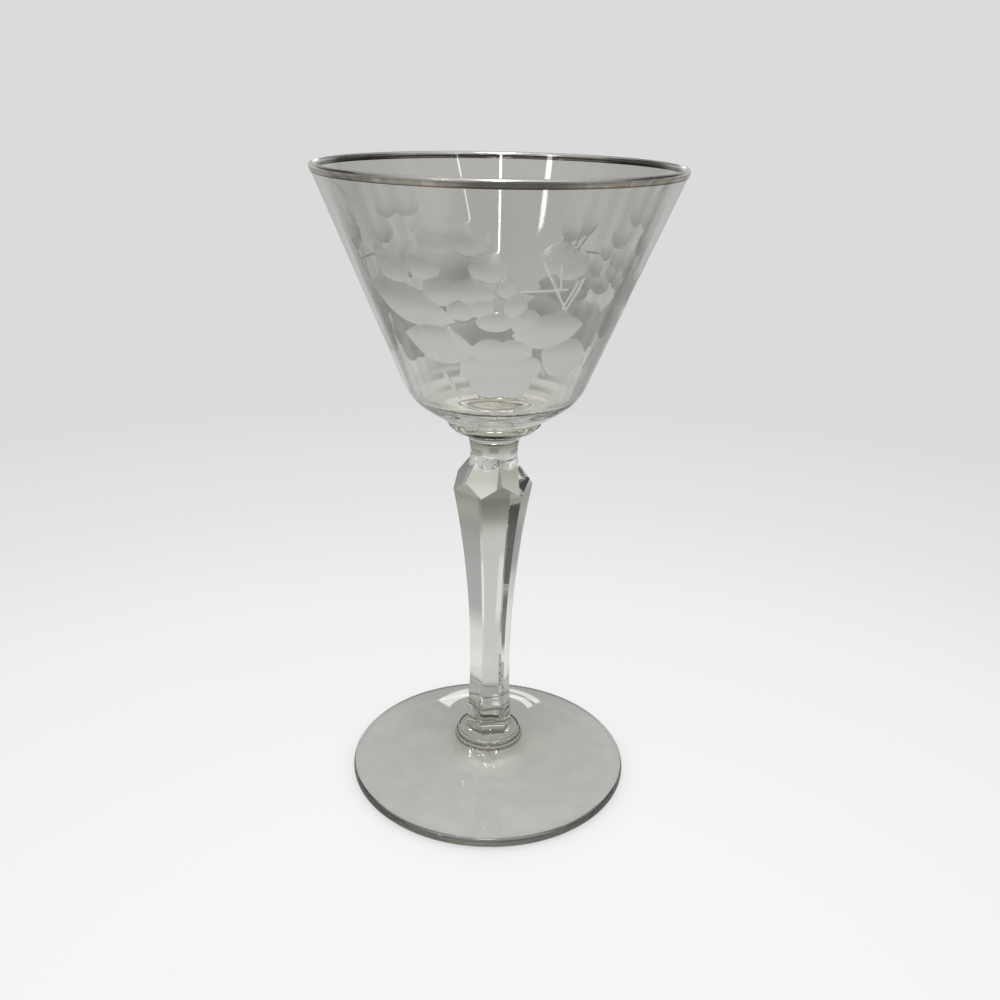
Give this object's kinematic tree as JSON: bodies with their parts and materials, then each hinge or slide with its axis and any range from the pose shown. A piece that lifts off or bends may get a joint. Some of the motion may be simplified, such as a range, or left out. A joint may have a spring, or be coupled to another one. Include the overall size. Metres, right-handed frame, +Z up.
{
  "type": "stemmed cocktail glass",
  "caption": "Clear stemmed glass with a conical wheel-cut bowl, metal-lined rim, six-sided knopped stem and round foot, for serving short drinks",
  "frame": {"origin": "on the table, on the axis of the glass, in the middle of the foot's underside", "axes": "+Z up along the axis of the glass; -Y towards the viewer of the picture, +X to the viewer's right"},
  "size_m": [0.076, 0.076, 0.143],
  "materials": {
    "glass": "clear, fire-polished",
    "rim_metal": "bright fired metal line"
  },
  "bodies": {
    "root": {"foot": "glass", "foot_collar": "glass", "stem": "glass", "bowl_collar": "glass", "bowl": "glass", "rim_line": "rim_metal"}
  },
  "joints": []
}
